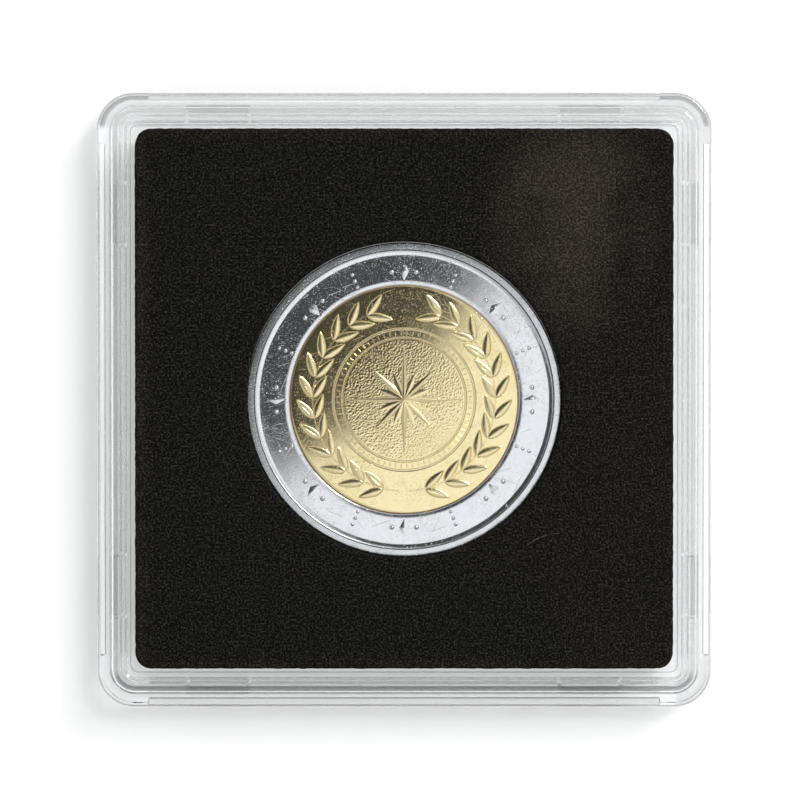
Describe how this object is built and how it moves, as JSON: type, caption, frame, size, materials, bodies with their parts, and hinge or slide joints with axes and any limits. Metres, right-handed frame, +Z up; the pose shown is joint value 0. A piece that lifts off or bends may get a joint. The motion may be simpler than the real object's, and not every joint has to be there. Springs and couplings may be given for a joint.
{
  "type": "square coin capsule",
  "caption": "Square clear snap-fit coin capsule with a raised stacking rim, a black foam insert with a round hole, and a gold and silver coloured coin with a wind rose.",
  "frame": {"origin": "the middle of the face that the foot ring stands on", "axes": "+Z up through the panes, from the base to the cover; +X and +Y square to the sides, +X to the picture's right and +Y to its top"},
  "size_m": [0.05, 0.05, 0.0063],
  "materials": {
    "clear_base": "clear polished moulded plastic",
    "clear_cover": "clear polished moulded plastic",
    "black_foam": "matt black closed-cell foam with a fine pore grain",
    "nickel_ring": "struck nickel-coloured metal, polished, with fine handling marks",
    "brass_core": "struck pale brass, polished, with fine handling marks"
  },
  "bodies": {
    "base": {"base_shell": "clear_base"},
    "insert": {"foam_insert": "black_foam"},
    "coin": {"coin_ring": "nickel_ring", "coin_core": "brass_core"},
    "cover": {"cover_shell": "clear_cover"}
  },
  "joints": [
    {"name": "insert_lift", "type": "slide", "parent": "base", "child": "insert", "axis": [0, 0, 1], "range_m": [0, 0.015]},
    {"name": "coin_lift", "type": "slide", "parent": "insert", "child": "coin", "axis": [0, 0, 1], "range_m": [0, 0.015]},
    {"name": "cover_lift", "type": "slide", "parent": "coin", "child": "cover", "axis": [0, 0, 1], "range_m": [0, 0.025]}
  ]
}
